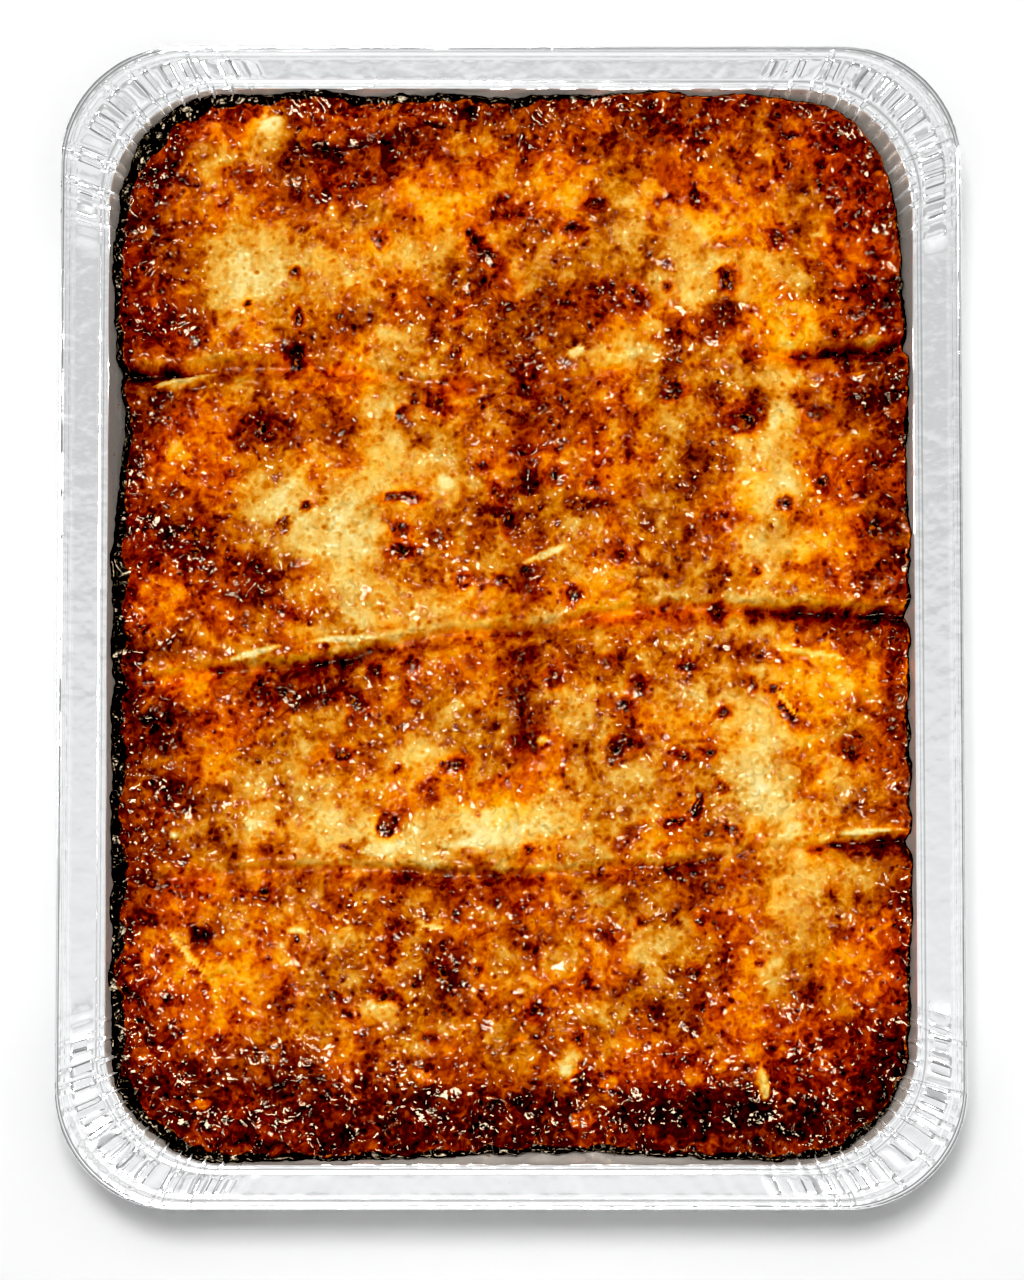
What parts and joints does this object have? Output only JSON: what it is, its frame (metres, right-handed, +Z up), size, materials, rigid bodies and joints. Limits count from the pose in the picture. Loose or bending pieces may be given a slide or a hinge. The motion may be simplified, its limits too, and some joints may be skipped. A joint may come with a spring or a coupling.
{
  "type": "baked lasagne in a foil tray",
  "caption": "Baked lasagne with a browned cheese crust, creased into portions, in a rectangular pressed foil tray with a flanged rim and pleated corners.",
  "frame": {"origin": "centre of the tray's flat base, on the surface that it stands on", "axes": "+Z up, +Y along the tray's length, +X across it"},
  "size_m": [0.249, 0.32, 0.0507],
  "materials": {
    "foil": "bright thin pressed foil, creased at the corners, with a few baked-on splashes inside",
    "crust": "oily baked cheese and sauce: pale gold to orange and brown, with charred spots and a black charred edge"
  },
  "bodies": {
    "root": {"foil_tray": "foil", "lasagne": "crust"}
  },
  "joints": []
}
